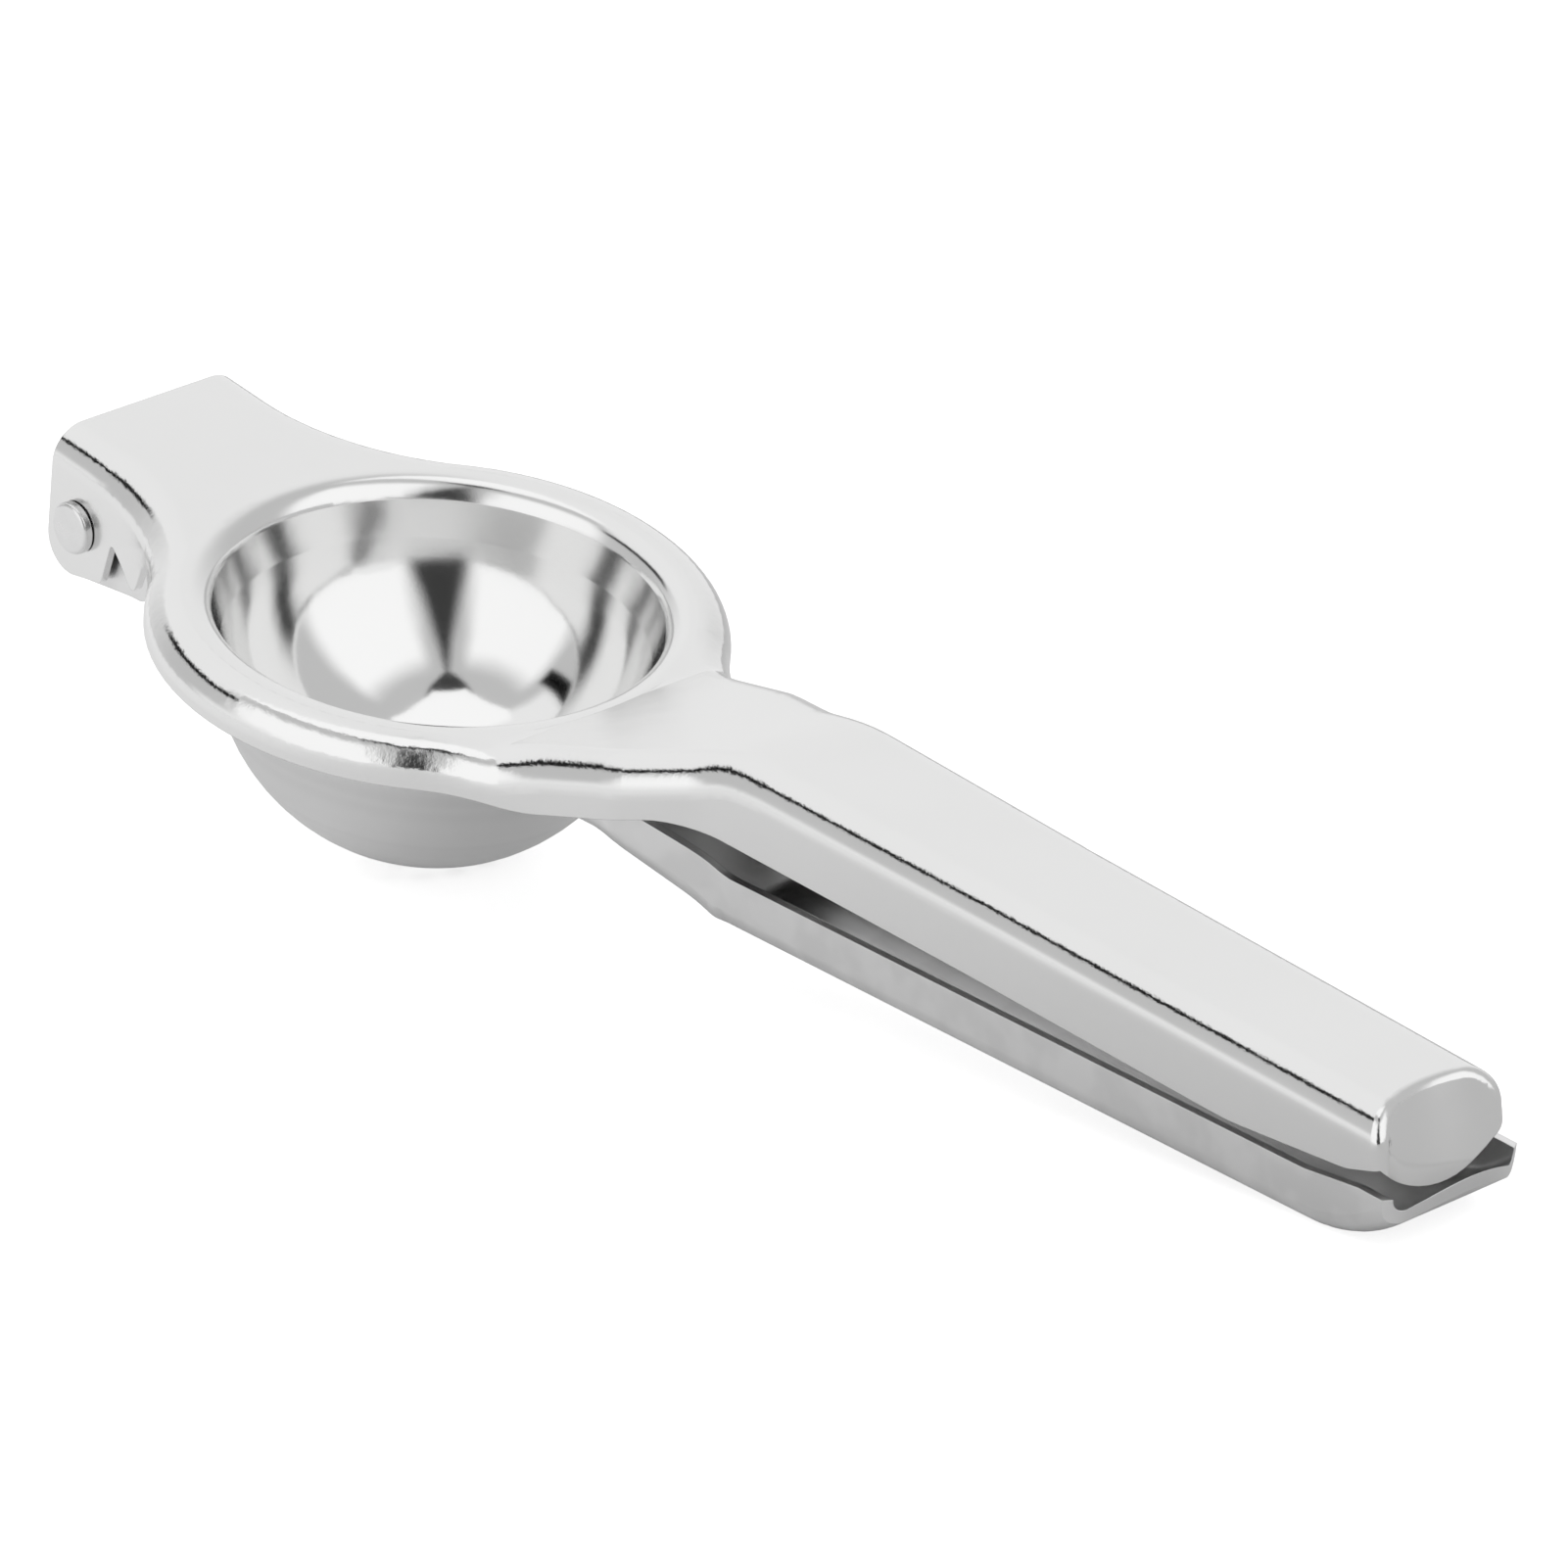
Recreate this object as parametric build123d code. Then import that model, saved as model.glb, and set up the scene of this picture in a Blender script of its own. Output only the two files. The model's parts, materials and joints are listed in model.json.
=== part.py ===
from build123d import *
from math import acos, asin, atan2, cos, degrees, hypot, radians, sin, sqrt, tan
import os

# Hinged lemon squeezer, pressed from stainless sheet. Millimetres.
# It is drawn in the frame of its ring: the origin is the centre of the ring on its top face,
# +X runs along the handles and +Z points up out of the press cup. At the end it is laid down
# as it rests on a table: on the bottom of the strainer bowl and on the heel of the lower handle.

# --- sheet and clearances ---
sheet = 1.0               # thickness of both pressings
nest_gap = 0.35           # side gap between the strainer arm and the skirt that it nests in
plate_gap = 2.0           # gap between the ring and the flange below it

# --- press arm, seen from above ---
ring_radius = 33.0
hinge_half_width = 13.5
hinge_end = 52.8          # ring centre to the cut end of the hinge
hinge_flare = 32.0        # radius between hinge cheek and ring
shoulder_x = 46.5
shoulder_half_width = 14.7
shoulder_taper = 9.0      # degrees by which the neck narrows between ring and shoulder
neck_x = 57.5
neck_half_width = 10.5
waist_x = 98.0
waist_half_width = 9.6
handle_half_width = 9.15  # at the end of the handle
flare_radius = 24.0       # ring into neck
shoulder_radius = 14.0
neck_radius = 14.0
waist_radius = 200.0
bend_radius = 4.1         # outside radius of the press arm's long edges

# --- press arm, side view ---
ramp_start = 28.0         # where the web starts to climb
ramp_angle = 21.8
ramp_end = 60.1
ramp_foot_radius = 4.0
ramp_top_radius = 33.0
handle_angle = 4.8        # climb of the upper handle
ring_skirt = 5.15         # depth of the skirt round the ring
handle_skirt = 9.9        # depth of the skirt along the handle
skirt_ramp_start = 33.6
skirt_radius = 16.0
nose_start = 138.0        # where the skirt edge starts to rise towards the end
nose_start_radius = 40.0
nose_knee = 155.5
nose_knee_rise = 2.1
nose_knee_radius = 8.0

# --- end tongue of the press arm ---
crease_mid = 156.4        # crease across the web, on the centre line
crease_bow = 5.9          # how far forwards it curves from there to its ends
crease_radius = 1.15      # outside radius of the bend into the tongue
tongue_mid = 161.0        # lower edge of the tongue, on the centre line
tongue_drop = 9.8         # from the crease to the lower edge, on the centre line
tongue_dip = 4.4          # how far the lower edge hangs below its corners
tongue_trim = 4.0         # how far behind its middle the tongue's own lower edge begins

# --- press cup ---
cup_mouth = 26.1          # radius of the corner where the ring turns down into the cup
cup_mouth_fillet = 3.0
cup_radius = 25.2         # inside radius of its ball
cup_centre = 0.0          # height of the ball's centre above the ring
cup_gap = 0.45            # between the press cup and the strainer bowl, at their sides

# --- strainer bowl ---
bowl_mouth_fillet = 1.5
bowl_radius = 24.3        # inside radius of its ball
bowl_depth = 5.95         # depth of the ball's centre
hole_diameter = 2.5
hole_rows = 3             # rows of holes round the middle one
hole_pitch = 8.6          # degrees of the sphere from row to row
hole_count_step = 6       # holes that each row has more than the row inside it

# --- strainer arm, lower handle ---
channel_half_width = 9.7  # at the end of the lower handle
floor_drop_start = 43.0
floor_drop_end = 57.5
floor_drop = 5.25         # how far the floor drops below the flange
floor_start_radius = 8.0
floor_end_radius = 3.5
floor_angle = 7.87        # climb of the lower handle
channel_bend = 2.5        # outside radius of the channel's long edges
wall_height = 6.7         # of the channel, from the underside of its floor
wall_start = 30.5         # where the walls start to rise from the flange
neck_wall_x = 45.0        # the walls' highest point in the neck
neck_wall_top = 1.6
low_wall_x = 59.5         # and their lowest one, behind the drop
wall_radius = 7.0
heel_x = 151.0            # where the floor turns up
heel_radius = 20.0
lip_corner = 161.6        # pointed corners of the end lip
lip_bow = 3.0             # how far the middle of the lip reaches beyond them
lip_height = 3.2          # how far the middle of the lip may stand above the walls
lip_rise_start = 150.0
lip_rise_end = 158.0
lip_rise = 0.9            # how far the walls rise towards the corners
lip_rise_radius = 3.5

# --- hinge cheeks ---
ear_depth = 18.1          # lower rear corner of the press arm's ear, before it is rounded
ear_corner = 4.0
ear_slope = 15.5          # degrees by which its lower edge climbs forwards
ear_front = 42.7
ear_front_round = 1.0
notch_x = 41.0
notch_depth = 9.0         # top of the notch between ear and ring skirt
notch_round = 0.7
tab_x = 34.5
tab_depth = 12.3          # the skirt in front of the notch
tab_round = 2.0
tab_end = 31.0
tab_end_round = 3.0
inner_flare = 18.0        # radius between the strainer arm's ears and its flange
inner_ear_depth = 18.5
inner_ear_slope = 12.0
inner_ear_front = 36.0
inner_ear_round = 3.0
inner_ear_end = 30.0
inner_bend_radius = 3.1
swing_gap = 0.45          # between the strainer arm's end and the press arm's web, as it swings

# --- hinge rivet ---
pin_x = 47.7              # its axis, back from the ring centre
pin_depth = 10.2          # and below its top face
pin_diameter = 4.0
pin_running_gap = 0.05    # radial, in the press arm's ears
head_diameter = 6.2
head_height = 1.1
head_round = 0.5
head_gap = 0.2            # between head and ear

# --- reach of the cutting blocks, past every size above ---
beyond = 80.0
far_end = 200.0
punch_length = 4.0        # through one sheet, with room on both sides


# --- drawing helpers ---
def climb(angle, run):
    """Height gained over a run at this angle."""
    return run * tan(radians(angle))


def corners_face(corners):
    """Face inside a closed run of (x, y, radius) corners, each rounded by its radius."""
    points = [(x, y) for x, y, _ in corners]
    return make_face(FilletPolyline(*points, radius=[radius for _, _, radius in corners], close=True))


def side_block(corners, inset=0):
    """Block right across the arm, from a side view's (x, z, radius) corners, moved in."""
    face = corners_face(corners)
    if inset:
        face = offset(face, amount=-inset, kind=Kind.INTERSECTION)
    return extrude(Plane.XZ * face, amount=beyond, both=True)


def upright_block(plan, bottom, top):
    """Block over a plan, between two heights."""
    return extrude(Pos(0, 0, bottom) * plan, amount=top - bottom)


def round_long_edges(form, lowest, highest, radius):
    """Round the edges that run along a form between two heights."""
    def is_long(edge):
        box = edge.bounding_box()
        one_side = box.min.Y * box.max.Y > 0
        upright = box.size.Z > max(box.size.X, box.size.Y)
        return one_side and not upright and lowest < box.min.Z and box.max.Z < highest
    return fillet(form.edges().filter_by(is_long), radius)


def widened(corner, end, end_half_width):
    """Handle edge from a corner to its half width at the end, run on to the far end."""
    x, half_width, _ = corner
    slope = (end_half_width - half_width) / (end - x)
    return far_end, half_width + slope * (far_end - x), 0


def arm_outline(corners, inset):
    """Plan of an arm from its (x, half width, radius) corners, hinge first, moved in by a distance."""
    hinge_root, *handle = corners
    shoulder_root = shoulder_half_width + climb(shoulder_taper, shoulder_x)
    edge = [(0, shoulder_root)] + [(x, y) for x, y, _ in handle]
    grip = make_face(Polyline(edge + [(x, -y) for x, y in reversed(edge)], close=True))
    hinge = Pos(-beyond / 2, 0) * Rectangle(beyond, 2 * hinge_half_width)
    plan = Circle(ring_radius) + grip + hinge
    for side in (1, -1):
        for x, y, radius in corners[:-1]:
            plan = fillet(plan.vertices().sort_by_distance((x, side * y, 0))[0], radius)
        neck_root = plan.vertices().filter_by(lambda vertex: 0 < vertex.X < ring_radius)
        plan = fillet(neck_root.sort_by_distance((ring_radius, side * shoulder_root, 0))[0], flare_radius)
    return offset(plan, amount=-inset, kind=Kind.INTERSECTION) if inset else plan


def pressed_bowl(mouth, mouth_fillet, level, radius, centre):
    """Bowl of the sheet's thickness, turned down from a plate whose top is at this level.

    A cone leads from its mouth into a ball of this inside radius, centred at this height.
    """
    reach = hypot(mouth, level - centre)
    lean = acos(radius / reach) - atan2(level - centre, mouth)
    cone_foot = (radius * cos(lean), centre - radius * sin(lean))
    corners = [(beyond, level + sheet), (beyond, level), (mouth, level), cone_foot]
    cavity = make_face(Polyline(corners + [(-x, z) for x, z in reversed(corners)], close=True))
    below = Pos(0, level) * Rectangle(2 * beyond, 2 * beyond, align=(Align.CENTER, Align.MAX))
    cavity += (Pos(0, centre) * Circle(radius)) & below
    for side in (1, -1):
        cavity = fillet(cavity.vertices().sort_by_distance((side * mouth, level, 0))[0], mouth_fillet)
    skin = offset(cavity, amount=sheet, kind=Kind.ARC) - cavity
    kept = Pos(0, level, 0) * Rectangle(mouth + mouth_fillet, 2 * beyond, align=(Align.MIN, Align.MAX))
    return revolve(Plane.XZ * (skin & kept), Axis.Z)


def opened(plate, mouth, mouth_fillet, level):
    """A plate with the round hole that a bowl's mouth fills."""
    hole = Cylinder(mouth + mouth_fillet, punch_length)
    return plate - Pos(0, 0, level - sheet / 2) * hole


# --- lines that both arms are built on ---
ramp_height = climb(ramp_angle, ramp_end - ramp_start)
flange_level = -(sheet + plate_gap)
floor_level = flange_level - sheet
floor_low = floor_level - floor_drop
arm_inset = sheet + nest_gap
inside_bend = bend_radius - sheet
cup_clearance = cup_radius + sheet + cup_gap
bowl_lean = asin((cup_clearance - bowl_radius) / (cup_centre + bowl_depth))
bowl_mouth = (cup_clearance + (flange_level - cup_centre) * sin(bowl_lean)) / cos(bowl_lean)
tongue_lean = atan2(tongue_mid - crease_mid, tongue_drop)

shoulder = (shoulder_x, shoulder_half_width, shoulder_radius)
neck = (neck_x, neck_half_width, neck_radius)
waist = (waist_x, waist_half_width, waist_radius)
ring_corner = -sqrt(ring_radius**2 - hinge_half_width**2)
press_corners = [
    (ring_corner, hinge_half_width, hinge_flare),
    shoulder,
    neck,
    waist,
    widened(waist, tongue_mid, handle_half_width),
]
strainer_corners = [
    (ring_corner, hinge_half_width, inner_flare),
    shoulder,
    neck,
    widened(neck, lip_corner, channel_half_width + arm_inset),
]


def web_height(x):
    """Top face of the upper handle, past the ramp."""
    return ramp_height + climb(handle_angle, x - ramp_end)


def skirt_edge(x):
    """Lower edge of the skirt along the upper handle."""
    return web_height(x) - handle_skirt


def floor_height(x):
    """Underside of the lower handle, past the drop."""
    return floor_low + climb(floor_angle, x - floor_drop_end)


def wall_top(x):
    """Top edge of the lower handle's walls."""
    return floor_height(x) + wall_height


# --- press arm ---
def tongue_front(inset):
    """Everything in front of the leaning face of the end tongue, moved in by a distance.

    A section's share is 0 at the tongue's foot and 1 at the crease.
    """
    foot = web_height(crease_mid) - tongue_drop
    width = handle_half_width + sheet
    below_foot = -1
    above_crease = 2
    sections = []
    for share in (below_foot, above_crease):
        middle = tongue_mid + (crease_mid - tongue_mid) * share - inset
        corner = middle + crease_bow * share
        face_edge = ThreePointArc((corner, -width), (middle, 0), (corner, width))
        front = Polyline(
            (corner, width),
            (corner, beyond),
            (far_end + sheet, beyond),
            (far_end + sheet, -beyond),
            (corner, -beyond),
            (corner, -width),
        )
        sections.append(Pos(0, 0, foot + tongue_drop * share) * make_face(face_edge + front))
    return loft(sections, ruled=True)


def is_crease(edge):
    """Whether an edge belongs to the crease between the web and the tongue."""
    box = edge.bounding_box()
    return box.min.X > crease_mid - 2 * sheet and box.max.Z > 0


def press_form(inset):
    """Solid block under the skin of the press arm, moved in by a distance."""
    plan = upright_block(arm_outline(press_corners, inset), -beyond, beyond)
    side = side_block(
        [
            (-far_end, -beyond, 0),
            (-far_end, 0, 0),
            (ramp_start, 0, ramp_foot_radius),
            (ramp_end, ramp_height, ramp_top_radius),
            (far_end, web_height(far_end), 0),
            (far_end, -beyond, 0),
        ],
        inset,
    )
    form = round_long_edges(plan & side, -2 * sheet, beyond, bend_radius - inset)
    form -= tongue_front(inset / cos(tongue_lean))
    return fillet(form.edges().filter_by(is_crease), crease_radius - inset)


def press_trim():
    """What the trimming tool leaves of the press arm's skirt, ears and tongue."""
    skirt_knee = (skirt_edge(0) + ring_skirt + climb(ramp_angle, skirt_ramp_start)) / (
        climb(ramp_angle, 1) - climb(handle_angle, 1)
    )
    tongue_foot = web_height(crease_mid) - tongue_drop
    tongue_corner = tongue_foot + tongue_dip
    side = side_block(
        [
            (-hinge_end, beyond, 0),
            (-hinge_end, -ear_depth, ear_corner),
            (-ear_front, -ear_depth + climb(ear_slope, hinge_end - ear_front), ear_front_round),
            (-notch_x, -notch_depth, notch_round),
            (-tab_x, -tab_depth, tab_round),
            (-tab_end, -ring_skirt, tab_end_round),
            (skirt_ramp_start, -ring_skirt, skirt_radius),
            (skirt_knee, skirt_edge(skirt_knee), skirt_radius),
            (nose_start, skirt_edge(nose_start), nose_start_radius),
            (nose_knee, skirt_edge(nose_knee) + nose_knee_rise, nose_knee_radius),
            (tongue_mid, tongue_corner, 0),
            (far_end, tongue_corner, 0),
            (far_end, beyond, 0),
        ]
    )
    edge = ThreePointArc(
        (-handle_half_width, tongue_corner),
        (0, tongue_foot),
        (handle_half_width, tongue_corner),
    )
    above = Polyline(
        (handle_half_width, tongue_corner),
        (handle_half_width, beyond),
        (-handle_half_width, beyond),
        (-handle_half_width, tongue_corner),
    )
    end = Plane.YZ.offset(tongue_mid - tongue_trim)
    tongue = extrude(end * make_face(edge + above), amount=far_end)
    return side + tongue


def press_arm():
    """Upper pressing: hinge ears, ring with the press cup, and the upper handle."""
    skin = press_form(0) - press_form(sheet)
    skin = skin & press_trim()
    skin = opened(skin, cup_mouth, cup_mouth_fillet, 0)
    skin += pressed_bowl(cup_mouth, cup_mouth_fillet, 0, cup_radius, cup_centre)
    return skin - pin_bore(pin_diameter / 2 + pin_running_gap)


# --- strainer arm ---
def hinge_form(inset):
    """Solid block under the skin of the strainer arm's hinge, moved in by a distance."""
    height = flange_level - inset
    plan = upright_block(arm_outline(strainer_corners, arm_inset + inset), -beyond, height)
    return round_long_edges(plan, height - sheet, height + sheet, inner_bend_radius - inset)


def hinge_web():
    """The end of the strainer arm that is bent down into ears inside the press arm's."""
    swing_radius = pin_depth - sheet - swing_gap
    rear = pin_x + sqrt(swing_radius**2 - (pin_depth + flange_level) ** 2)
    front_depth = inner_ear_depth - climb(inner_ear_slope, rear - inner_ear_front)
    ears = side_block(
        [
            (-rear, 0, 0),
            (-rear, -inner_ear_depth, ear_corner),
            (-inner_ear_front, -front_depth, inner_ear_round),
            (-inner_ear_end, floor_level, inner_ear_round),
            (-inner_ear_end + inner_ear_round, floor_level, 0),
            (-inner_ear_end + inner_ear_round, 0, 0),
        ]
    )
    return (hinge_form(0) - hinge_form(sheet)) & ears


def flange():
    """The flat ring of the strainer arm, which clears the bend of the ring above it."""
    below_bend = max(inside_bend - plate_gap, 0)
    bend_inset = inside_bend - sqrt(inside_bend**2 - below_bend**2)
    outline = arm_outline(strainer_corners, arm_inset + bend_inset)
    plate = upright_block(outline, floor_level, flange_level)
    return plate & Box(2 * (ring_radius + sheet), 2 * beyond, beyond)


def channel_form(inset):
    """Solid block over the skin of the lower handle, moved in by a distance."""
    plan = upright_block(arm_outline(strainer_corners, arm_inset + inset), -beyond, beyond)
    heel_turn = radians(90 - floor_angle)
    heel_corner = heel_x + heel_radius * tan(heel_turn / 2) * sin(heel_turn)
    side = side_block(
        [
            (-beyond, beyond, 0),
            (-beyond, floor_level, 0),
            (floor_drop_start, floor_level, floor_start_radius),
            (floor_drop_end, floor_low, floor_end_radius),
            (heel_corner, floor_height(heel_corner), heel_radius),
            (heel_corner, beyond, 0),
        ],
        inset,
    )
    above_heel = floor_low + 2 * heel_radius
    return round_long_edges(plan & side, floor_low - sheet, above_heel, channel_bend - inset)


def channel():
    """The neck and the lower handle, bent up into walls and into the end lip."""
    walls = side_block(
        [
            (wall_start, floor_low - sheet, 0),
            (wall_start, flange_level - sheet / 2, 0),
            (neck_wall_x, neck_wall_top, wall_radius),
            (low_wall_x, wall_top(low_wall_x), wall_radius),
            (lip_rise_start, wall_top(lip_rise_start), wall_radius),
            (lip_rise_end, wall_top(lip_rise_end) + lip_rise, lip_rise_radius),
            (lip_corner + sheet, wall_top(lip_corner) + lip_rise, 0),
            (lip_corner + lip_bow, wall_top(lip_corner) + lip_height, 0),
            (far_end, wall_top(lip_corner) + lip_height, 0),
            (far_end, floor_low - sheet, 0),
        ]
    )
    lip_edge = ThreePointArc(
        (lip_corner, -channel_half_width),
        (lip_corner + lip_bow, 0),
        (lip_corner, channel_half_width),
    )
    back = Polyline(
        (lip_corner, channel_half_width),
        (lip_corner, beyond),
        (0, beyond),
        (0, -beyond),
        (lip_corner, -beyond),
        (lip_corner, -channel_half_width),
    )
    lip = upright_block(make_face(lip_edge + back), -beyond, beyond)
    return (channel_form(0) - channel_form(sheet)) & walls & lip


def drain_holes():
    """Round holes through the bottom of the strainer bowl, square to its wall."""
    drill = Pos(0, 0, -bowl_radius) * Cylinder(hole_diameter / 2, punch_length)
    holes = [Pos(0, 0, -bowl_depth) * drill]
    for row in range(1, hole_rows + 1):
        count = hole_count_step * row
        for index in range(count):
            turned = Rot(0, 0, 360 * index / count) * Rot(0, hole_pitch * row, 0)
            holes.append(Pos(0, 0, -bowl_depth) * turned * drill)
    return holes


def strainer_arm():
    """Lower pressing: inner hinge ears, flange with the strainer bowl, and the lower handle."""
    skin = hinge_web() + flange() + channel()
    skin = opened(skin, bowl_mouth, bowl_mouth_fillet, flange_level)
    skin += pressed_bowl(bowl_mouth, bowl_mouth_fillet, flange_level, bowl_radius, -bowl_depth)
    return skin - drain_holes() - pin_bore(pin_diameter / 2)


# --- hinge rivet ---
def pin_bore(radius):
    """Round block along the pin's axis, right through the hinge."""
    return Pos(-pin_x, 0, -pin_depth) * Rot(90, 0, 0) * Cylinder(radius, beyond)


def hinge_rivet():
    """Rivet with two pan heads, through both arms' ears."""
    seat = hinge_half_width + head_gap
    half = corners_face(
        [
            (0, 0, 0),
            (pin_diameter / 2, 0, 0),
            (pin_diameter / 2, seat, 0),
            (head_diameter / 2, seat, 0),
            (head_diameter / 2, seat + head_height, head_round),
            (0, seat + head_height, 0),
        ]
    )
    half_rivet = revolve(half, Axis.Y)
    return Pos(-pin_x, 0, -pin_depth) * (half_rivet + mirror(half_rivet, Plane.XZ))


# --- laid down at rest ---
def rest_tilt():
    """Degrees from the ring's plane to the table, which touches the bowl and the heel."""
    heel_side = heel_x - heel_radius * sin(radians(floor_angle))
    heel_above = floor_height(heel_x) + heel_radius * cos(radians(floor_angle)) + bowl_depth
    smaller = heel_radius - (bowl_radius + sheet)
    return degrees(atan2(heel_above, heel_side) - asin(smaller / hypot(heel_side, heel_above)))


def main():
    parts = {
        "press_arm": press_arm(),
        "strainer_arm": strainer_arm(),
        "hinge_rivet": hinge_rivet(),
    }
    tilted = {name: Rot(0, rest_tilt(), 0) * part for name, part in parts.items()}
    box = Compound([solid for part in tilted.values() for solid in part.solids()]).bounding_box()
    centred = Pos(-box.center().X, 0, -box.min.Z)
    os.makedirs("parts", exist_ok=True)
    for name, part in tilted.items():
        export_step(centred * part, f"parts/{name}.step")
    pin = centred * Rot(0, rest_tilt(), 0) * Pos(-pin_x, 0, -pin_depth)
    print("rest tilt", rest_tilt(), "pin", pin.position, "overall", box.size)


main()
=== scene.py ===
import json
from math import cos, degrees, radians, sin

import bpy
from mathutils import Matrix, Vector

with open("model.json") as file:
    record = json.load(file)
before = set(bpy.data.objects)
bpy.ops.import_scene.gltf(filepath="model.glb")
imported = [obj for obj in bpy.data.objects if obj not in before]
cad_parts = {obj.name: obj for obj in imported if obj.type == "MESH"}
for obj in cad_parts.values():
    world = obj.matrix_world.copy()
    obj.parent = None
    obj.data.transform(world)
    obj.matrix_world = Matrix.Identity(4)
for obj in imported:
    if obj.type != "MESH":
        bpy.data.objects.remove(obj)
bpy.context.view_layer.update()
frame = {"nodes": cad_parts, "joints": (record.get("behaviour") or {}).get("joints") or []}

# The three pressed and turned pieces come from the frame as they are. This script gives each
# its steel finish and sets up the floor, the studio that the steel mirrors, and the camera.
# Places and lengths are in metres, angles in degrees.

# ---------------------------------------------------------------- the squeezer

# It lies tilted on the table: its ring leans towards the handles, and both handles climb
# back from the ring's plane.
REST_TILT = 13.239
UPPER_HANDLE_CLIMB = 4.8
LOWER_HANDLE_CLIMB = 7.87
RING_CENTRE = (-0.05445, 0.0, 0.03109)
PIN_CENTRE = tuple(frame["joints"][0]["pos_m"])

CUP_EDGE = (0.0284, 0.0262)       # radii between which the ring's finish turns into the cup's
CUP_DEPTH = (-0.006, -0.012)      # heights between which the cup's wall turns into its bottom
BOWL_EDGE = (0.0292, 0.0268)      # radii between which the flange's finish turns into the bowl's
CUT_EDGE = 0.00016                # rounding of the sheet's cut edges

# Roughness: one value, or the two that it drifts between.
POLISHED = (0.15, 0.24)
POLISHED_CUP_WALL = 0.15
POLISHED_CUP_BOTTOM = 0.085
POLISHED_BEND = 0.10
SATIN = (0.26, 0.42)
SATIN_BOWL_EXTRA = 0.06
TURNED = (0.16, 0.34)

# Tint: the two colours that it drifts between.
POLISHED_TINT = ((0.80, 0.80, 0.795, 1), (0.86, 0.86, 0.86, 1))
SATIN_TINT = ((0.74, 0.74, 0.74, 1), (0.84, 0.84, 0.84, 1))

# ---------------------------------------------------------------- the camera

# A long lens at the front right, towards the ends of the handles, and a little above.
CAMERA_PLACE = (0.916733, -0.758727, 0.49237)
CAMERA_TURN = (68.3949, 3.8084, 48.7813)
CAMERA_LENS = 269.83
SENSOR_WIDTH = 36
STUDIO_FRONT = -39.7              # the camera's side of the squeezer, in degrees from +X

# ---------------------------------------------------------------- the studio

# As the steel mirrors it, where a level of 1 is white. Sides are degrees round from the
# studio's front, positive to its right, and heights are degrees above level.
WALL = 0.60
BACKDROP = 0.93
BACKDROP_EDGE = (112.0, 168.0)    # from the wall into the backdrop, on both sides
SOFT_BOX = 1.10

# The left soft box, the right one, and a low glow further round on the left.
SPOTS = (
    {"side": -47.0, "half_width": 25.0, "soft_side": 13.0,
     "height": 25.0, "half_height": 22.0, "soft_height": 14.0, "level": SOFT_BOX},
    {"side": 48.0, "half_width": 24.0, "soft_side": 14.0,
     "height": 25.0, "half_height": 22.0, "soft_height": 14.0, "level": SOFT_BOX},
    {"side": -80.0, "half_width": 17.0, "soft_side": 6.0,
     "height": 0.0, "half_height": 5.0, "soft_height": 8.0, "level": 0.95},
)

# Behind on the left, a bright wall stands over a thin dark bar that climbs to the front.
UPPER_LEFT = 0.95
UPPER_LEFT_EDGE = (-86.0, -98.0)
UPPER_LEFT_FOOT = (2.0, 8.0)      # above the middle of the bar
BAR_HEIGHT = 33.0                 # of its middle, at the side below
BAR_HEIGHT_SIDE = -128.0
BAR_SLOPE = 0.25                  # how much it climbs for each degree towards the front
BAR = {"side": -107.0, "half_width": 22.0, "soft_side": 6.0,
       "height": 0.0, "half_height": 2.4, "soft_height": 3.2, "level": 0.0}

# A dark wedge in front, between the two soft boxes, widens again under the light overhead.
GAP_LEVEL = 0.05
GAP_SIDE = 1.0
GAP_FOOT = 15.0                   # its half width at the level of the horizon
GAP_TAPER = 0.23                  # how much narrower it gets for each degree of height
GAP_NECK = 59.0                   # the height where it is narrowest
GAP_FLARE = 3.2                   # how much wider it gets above that
GAP_SOFT = 5.0
GAP_BOTTOM = (-6.0, 4.0)
GAP_BACK = (100.0, 80.0)          # it ends well before the back

# The light overhead, measured on a direction of length 1: across, and towards the front.
OVERHEAD_HALF = 0.43
OVERHEAD_TAPER = 0.84             # how much narrower it gets towards the front
OVERHEAD_SOFT = 0.02
OVERHEAD_FRONT = (0.36, 0.33)
OVERHEAD_BACK = (-0.16, -0.06)

FLOOR_SIZE = 12.0
FLOOR_PAINT = 0.8
FLOOR_GLOW_SEEN = 0.75            # where it is seen directly
FLOOR_GLOW_RIGHT = 0.06           # where it is seen in the steel
FLOOR_GLOW_LEFT = 0.38
FLOOR_GLOW_EDGE = (-0.10, 0.22)   # distances to the left between which the two meet

AMBIENT = 0.4                     # the room's own light on what isn't a mirror
LAMP_SIZE = 0.8
LAMP_POWER = 4.5
LAMPS = {"left_lamp": (-1.0, -0.4, 1.2), "right_lamp": (0.8, 0.8, 1.2)}


# ---------------------------------------------------------------- node helpers

def new_material(name):
    made = bpy.data.materials.new(name)
    made.use_nodes = True
    return made, made.node_tree, made.node_tree.nodes["Principled BSDF"]


def node(tree, kind, settings=None, **inputs):
    """A new node with its settings, its plain input values and its links.

    An input is called by its name, or as _2 by its number."""
    made = tree.nodes.new(kind)
    for key, value in (settings or {}).items():
        setattr(made, key, value)
    for key, value in inputs.items():
        socket = made.inputs[int(key[1:]) if key[0] == "_" else key]
        if isinstance(value, bpy.types.NodeSocket):
            tree.links.new(value, socket)
        else:
            socket.default_value = value
    return made


def maths(tree, operation, first, second=0.0):
    return node(tree, "ShaderNodeMath", {"operation": operation}, _0=first, _1=second).outputs[0]


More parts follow.
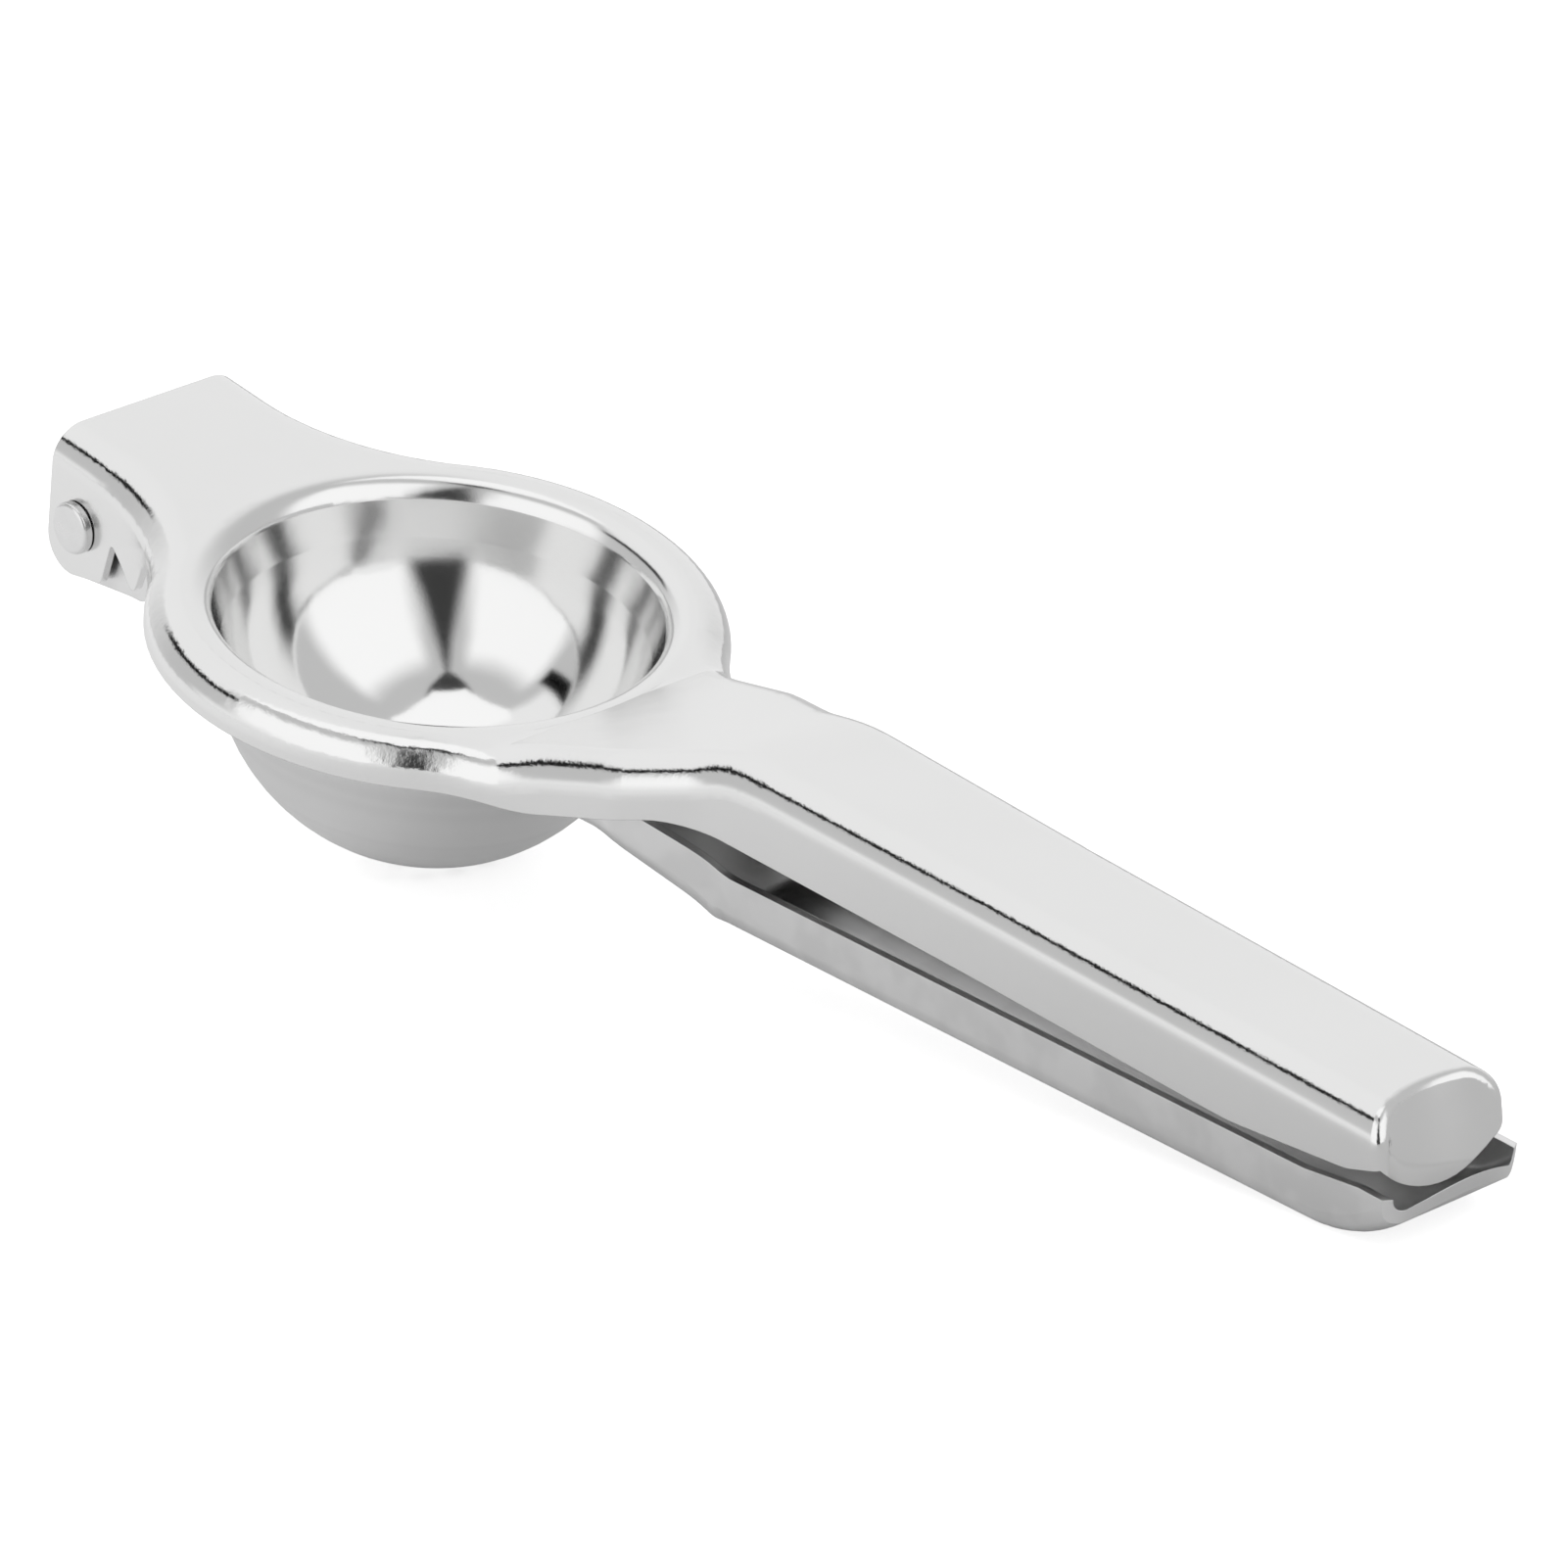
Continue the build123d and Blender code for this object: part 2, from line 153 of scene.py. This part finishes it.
def blend(tree, share, low, high):
    """From low to high as the share goes from 0 to 1."""
    return node(tree, "ShaderNodeMapRange", _0=share, _3=low, _4=high).outputs[0]


def lay_over(tree, share, under, over):
    """Over where the share is 1, under where it is 0."""
    return node(tree, "ShaderNodeMix", _0=share, _2=under, _3=over).outputs[0]


def step(tree, value, edge, low=0.0, high=1.0):
    """A soft step from low to high as the value crosses from the edge's start to its end."""
    smooth = {"interpolation_type": "SMOOTHSTEP"}
    return node(tree, "ShaderNodeMapRange", smooth,
                _0=value, _1=edge[0], _2=edge[1], _3=low, _4=high).outputs[0]


def within(tree, value, centre, half, soft):
    """1 within a half width of the centre, falling softly to 0 outside it."""
    away = maths(tree, "ABSOLUTE", maths(tree, "SUBTRACT", value, centre))
    return step(tree, away, (half + soft, half))


def vector_maths(tree, operation, first, second=(0, 0, 0)):
    return node(tree, "ShaderNodeVectorMath", {"operation": operation}, _0=first, _1=second)


def placed(tree, centre, tilt=0.0, scale=(1, 1, 1)):
    """The piece's own coordinates, from a centre and tilted back, then scaled."""
    own = node(tree, "ShaderNodeTexCoord").outputs["Object"]
    moved = vector_maths(tree, "SUBTRACT", own, centre).outputs[0]
    turn = {"rotation_type": "Y_AXIS"}
    turned = node(tree, "ShaderNodeVectorRotate", turn, Vector=moved, Angle=radians(-tilt)).outputs[0]
    return vector_maths(tree, "MULTIPLY", turned, scale).outputs[0]


def distance(tree, place, across):
    """How far a place is from an axis. The directions that count, across the axis, are 1."""
    flat = vector_maths(tree, "MULTIPLY", place, across).outputs[0]
    return vector_maths(tree, "LENGTH", flat).outputs[1]


def grain(tree, place, per_metre, detail=2, rough=0.5):
    """Cloudy grain, about 0.5 on average."""
    return node(tree, "ShaderNodeTexNoise", Vector=place, Scale=per_metre, Detail=detail,
                Roughness=rough).outputs[0]


def streaked(tree, tilt, per_metre, detail, rough=0.5):
    """Grain drawn out along a handle that lies at this tilt: along it, across it and in depth."""
    return grain(tree, placed(tree, RING_CENTRE, tilt, per_metre), 1, detail, rough)


def bump(tree, normal, height, strength, depth):
    """Relief of a height pattern on a surface's direction."""
    return node(tree, "ShaderNodeBump", Strength=strength, Distance=depth, Height=height,
                Normal=normal).outputs[0]


def soft_edges(tree):
    """The surface's direction, rounded over along the cut edges."""
    return node(tree, "ShaderNodeBevel", {"samples": 6}, Radius=CUT_EDGE).outputs[0]


def steel(shader, tree, tone, tint, rough, normal):
    """Joins tone, roughness and relief to a metal shader."""
    shader.inputs["Metallic"].default_value = 1.0
    colour = node(tree, "ShaderNodeMix", {"data_type": "RGBA"}, _0=tone, _6=tint[0], _7=tint[1])
    tree.links.new(colour.outputs[2], shader.inputs["Base Color"])
    tree.links.new(rough, shader.inputs["Roughness"])
    tree.links.new(normal, shader.inputs["Normal"])


# ---------------------------------------------------------------- finishes

def polished_steel():
    """Press arm: barrel polished, bright inside the cup, grainy where the sheet is bent hard."""
    made, tree, shader = new_material("polished_steel")
    ring_frame = placed(tree, RING_CENTRE, REST_TILT)
    height = node(tree, "ShaderNodeSeparateXYZ", Vector=ring_frame).outputs["Z"]
    facing = node(tree, "ShaderNodeTexCoord").outputs["Normal"]
    facing_y = node(tree, "ShaderNodeSeparateXYZ", Vector=facing).outputs["Y"]

    in_cup = step(tree, distance(tree, ring_frame, (1, 1, 0)), CUP_EDGE)

    # the bends face between straight up and straight to the side
    sideways = maths(tree, "ABSOLUTE", facing_y)
    on_bend = maths(tree, "MULTIPLY", step(tree, sideways, (0.15, 0.4)),
                    step(tree, sideways, (0.95, 0.75)))
    on_bend = maths(tree, "MULTIPLY", on_bend, step(tree, in_cup, (1.0, 0.0)))

    fine = grain(tree, ring_frame, per_metre=2600, rough=0.6)
    pebble = grain(tree, ring_frame, per_metre=900, detail=3, rough=0.65)
    waves = grain(tree, ring_frame, per_metre=120)
    cloud = grain(tree, ring_frame, per_metre=45, detail=4, rough=0.6)
    streaks = streaked(tree, REST_TILT - UPPER_HANDLE_CLIMB, per_metre=(60, 2400, 2400), detail=3)

    tone = blend(tree, cloud, 0.15, 0.85)
    cup = step(tree, height, CUP_DEPTH, POLISHED_CUP_WALL, POLISHED_CUP_BOTTOM)
    rough = lay_over(tree, in_cup, blend(tree, cloud, *POLISHED), cup)
    rough = lay_over(tree, on_bend, rough, POLISHED_BEND)
    rough = maths(tree, "ADD", rough, blend(tree, streaks, -0.025, 0.025))

    normal = soft_edges(tree)
    normal = bump(tree, normal, waves, strength=0.10, depth=0.0004)
    normal = bump(tree, normal, fine, strength=blend(tree, on_bend, 0.03, 0.08), depth=0.00006)
    normal = bump(tree, normal, pebble, strength=blend(tree, on_bend, 0.0, 0.30), depth=0.0001)
    steel(shader, tree, tone, POLISHED_TINT, rough, normal)
    return made


def satin_steel():
    """Strainer arm: spun bands round the bowl, brushed along the handle."""
    made, tree, shader = new_material("satin_steel")
    ring_frame = placed(tree, RING_CENTRE, REST_TILT)
    height = node(tree, "ShaderNodeSeparateXYZ", Vector=ring_frame).outputs["Z"]
    radius = distance(tree, ring_frame, (1, 1, 0))
    on_bowl = step(tree, radius, BOWL_EDGE)

    # the spun bands change only with the height and the distance from the bowl's axis
    rings = node(tree, "ShaderNodeCombineXYZ", X=radius, Z=height).outputs[0]
    bands = grain(tree, rings, per_metre=900, detail=5, rough=0.7)
    wide_bands = grain(tree, rings, per_metre=160)
    brushed = streaked(tree, REST_TILT - LOWER_HANDLE_CLIMB, per_metre=(25, 1500, 1500), detail=4,
                       rough=0.65)
    cloud = grain(tree, ring_frame, per_metre=60, detail=4, rough=0.6)
    fine = grain(tree, ring_frame, per_metre=2400, rough=0.6)

    lines = lay_over(tree, on_bowl, brushed, bands)
    tone = maths(tree, "ADD", blend(tree, cloud, 0.0, 0.4), step(tree, wide_bands, (0.38, 0.60), 0.0, 0.6))
    rough = maths(tree, "ADD", blend(tree, lines, *SATIN), blend(tree, on_bowl, 0.0, SATIN_BOWL_EXTRA))

    normal = soft_edges(tree)
    normal = bump(tree, normal, lines, strength=0.09, depth=0.0001)
    normal = bump(tree, normal, fine, strength=0.08, depth=0.00005)
    steel(shader, tree, tone, SATIN_TINT, rough, normal)
    return made


def turned_steel():
    """Rivet: fine rings turned round its axis."""
    made, tree, shader = new_material("turned_steel")
    place = placed(tree, PIN_CENTRE)
    radius = distance(tree, place, (1, 0, 1))
    rings = grain(tree, node(tree, "ShaderNodeCombineXYZ", X=radius).outputs[0], per_metre=3000)
    cloud = grain(tree, place, per_metre=400, detail=3)

    normal = soft_edges(tree)
    normal = bump(tree, normal, rings, strength=0.12, depth=0.00008)
    normal = bump(tree, normal, cloud, strength=0.10, depth=0.0002)
    steel(shader, tree, cloud, SATIN_TINT, blend(tree, cloud, *TURNED), normal)
    return made


def dress(name, material):
    piece = frame["nodes"][name]
    if piece.material_slots:
        piece.material_slots[0].material = material
    else:
        piece.data.materials.append(material)


# ---------------------------------------------------------------- studio

def white_floor():
    """Pale floor, whose image in the steel is brighter on the left."""
    bpy.ops.mesh.primitive_plane_add(size=FLOOR_SIZE, location=(0, 0, 0))
    floor = bpy.context.object
    floor.name = "floor"
    made = bpy.data.materials.new("white_floor")
    made.use_nodes = True
    tree = made.node_tree
    tree.nodes.clear()
    place = node(tree, "ShaderNodeTexCoord").outputs["Object"]
    front = radians(STUDIO_FRONT)
    towards_left = vector_maths(tree, "DOT_PRODUCT", place, (sin(front), -cos(front), 0.0)).outputs[1]
    in_steel = step(tree, towards_left, FLOOR_GLOW_EDGE, FLOOR_GLOW_RIGHT, FLOOR_GLOW_LEFT)
    path = node(tree, "ShaderNodeLightPath").outputs
    seen = maths(tree, "MAXIMUM", path["Is Camera Ray"], path["Is Transmission Ray"])
    glow = maths(tree, "MAXIMUM", maths(tree, "MULTIPLY", path["Is Glossy Ray"], in_steel),
                 maths(tree, "MULTIPLY", seen, FLOOR_GLOW_SEEN))
    paint = node(tree, "ShaderNodeBsdfDiffuse", Color=(FLOOR_PAINT, FLOOR_PAINT, FLOOR_PAINT, 1))
    light = node(tree, "ShaderNodeEmission", Color=(1, 1, 1, 1), Strength=glow)
    both = node(tree, "ShaderNodeAddShader", _0=paint.outputs[0], _1=light.outputs[0])
    node(tree, "ShaderNodeOutputMaterial", Surface=both.outputs[0])
    floor.data.materials.append(made)


def patch(tree, side, height, spot):
    """A soft rectangle of the studio: centre, half width and soft edge in degrees, both ways."""
    across = within(tree, side, spot["side"], spot["half_width"], spot["soft_side"])
    upright = within(tree, height, spot["height"], spot["half_height"], spot["soft_height"])
    return maths(tree, "MULTIPLY", across, upright)


def back_left(tree, level, side, height):
    """The bright wall behind on the left, and the dark bar below it."""
    climb = maths(tree, "MULTIPLY", maths(tree, "SUBTRACT", side, BAR_HEIGHT_SIDE), BAR_SLOPE)
    over_bar = maths(tree, "SUBTRACT", maths(tree, "SUBTRACT", height, climb), BAR_HEIGHT)
    upper_left = maths(tree, "MULTIPLY", step(tree, side, UPPER_LEFT_EDGE),
                       step(tree, over_bar, UPPER_LEFT_FOOT))
    level = lay_over(tree, upper_left, level, UPPER_LEFT)
    return lay_over(tree, patch(tree, side, over_bar, BAR), level, BAR["level"])


def front_gap(tree, level, side, height, away):
    """The dark wedge in front, which narrows upwards and widens again near the top."""
    below_neck = maths(tree, "SUBTRACT", GAP_FOOT, maths(tree, "MULTIPLY", height, GAP_TAPER))
    above_neck = maths(tree, "MULTIPLY", maths(tree, "SUBTRACT", height, GAP_NECK), GAP_FLARE)
    half_gap = maths(tree, "MAXIMUM", below_neck, above_neck)
    from_middle = maths(tree, "ABSOLUTE", maths(tree, "SUBTRACT", side, GAP_SIDE))
    beside = maths(tree, "SUBTRACT", from_middle, half_gap)
    share = maths(tree, "MULTIPLY", step(tree, beside, (GAP_SOFT, -GAP_SOFT)),
                  step(tree, height, GAP_BOTTOM))
    share = maths(tree, "MULTIPLY", share, step(tree, away, GAP_BACK))
    return lay_over(tree, share, level, GAP_LEVEL)


def overhead_light(tree, level, forwards, across):
    """The light overhead, narrower towards the front."""
    taper = maths(tree, "MULTIPLY", maths(tree, "MAXIMUM", forwards, 0.0), OVERHEAD_TAPER)
    half_light = maths(tree, "SUBTRACT", OVERHEAD_HALF, taper)
    outside = maths(tree, "SUBTRACT", maths(tree, "ABSOLUTE", across), half_light)
    share = maths(tree, "MULTIPLY", step(tree, outside, (OVERHEAD_SOFT, -OVERHEAD_SOFT)),
                  step(tree, forwards, OVERHEAD_FRONT))
    share = maths(tree, "MULTIPLY", share, step(tree, forwards, OVERHEAD_BACK))
    return lay_over(tree, share, level, SOFT_BOX)


def studio_world():
    """White where it is seen; in the steel, grey walls, soft boxes, a backdrop and dark gaps."""
    world = bpy.data.worlds.new("studio")
    bpy.context.scene.world = world
    world.use_nodes = True
    tree = world.node_tree
    tree.nodes.clear()
    look = node(tree, "ShaderNodeTexCoord").outputs["Generated"]
    turn = {"rotation_type": "Z_AXIS"}
    look = node(tree, "ShaderNodeVectorRotate", turn, Vector=look, Angle=radians(-STUDIO_FRONT))
    forwards, across, upwards = node(tree, "ShaderNodeSeparateXYZ", Vector=look.outputs[0]).outputs
    side = maths(tree, "MULTIPLY", maths(tree, "ARCTAN2", across, forwards), degrees(1))
    height = maths(tree, "MULTIPLY", maths(tree, "ARCSINE", upwards), degrees(1))
    away = maths(tree, "ABSOLUTE", side)

    mirrored = step(tree, away, BACKDROP_EDGE, WALL, BACKDROP)
    mirrored = back_left(tree, mirrored, side, height)
    for spot in SPOTS:
        mirrored = lay_over(tree, patch(tree, side, height, spot), mirrored, spot["level"])
    mirrored = front_gap(tree, mirrored, side, height, away)
    mirrored = overhead_light(tree, mirrored, forwards, across)

    path = node(tree, "ShaderNodeLightPath").outputs
    level = lay_over(tree, path["Is Glossy Ray"], AMBIENT, mirrored)
    seen = maths(tree, "MAXIMUM", path["Is Camera Ray"], path["Is Transmission Ray"])
    level = maths(tree, "MAXIMUM", level, seen)
    light = node(tree, "ShaderNodeBackground", Color=(1, 1, 1, 1), Strength=level)
    node(tree, "ShaderNodeOutputWorld", Surface=light.outputs[0])


def set_lamp(name, place):
    """A soft square lamp that faces the squeezer and isn't seen in its steel."""
    light = bpy.data.lights.new(name, "AREA")
    light.size = LAMP_SIZE
    light.energy = LAMP_POWER
    lamp = bpy.data.objects.new(name, light)
    bpy.context.scene.collection.objects.link(lamp)
    lamp.location = place
    lamp.rotation_euler = (-Vector(place)).to_track_quat("-Z", "Y").to_euler()
    lamp.visible_glossy = False


def set_camera():
    data = bpy.data.cameras.new("camera")
    data.lens = CAMERA_LENS
    data.sensor_width = SENSOR_WIDTH
    camera = bpy.data.objects.new("camera", data)
    bpy.context.scene.collection.objects.link(camera)
    camera.location = CAMERA_PLACE
    camera.rotation_euler = [radians(angle) for angle in CAMERA_TURN]
    bpy.context.scene.camera = camera


# ---------------------------------------------------------------- everything in its place

dress("press_arm", polished_steel())
dress("strainer_arm", satin_steel())
dress("hinge_rivet", turned_steel())

white_floor()
studio_world()
for lamp_name, lamp_place in LAMPS.items():
    set_lamp(lamp_name, lamp_place)
set_camera()

bpy.context.scene.view_settings.view_transform = "Standard"
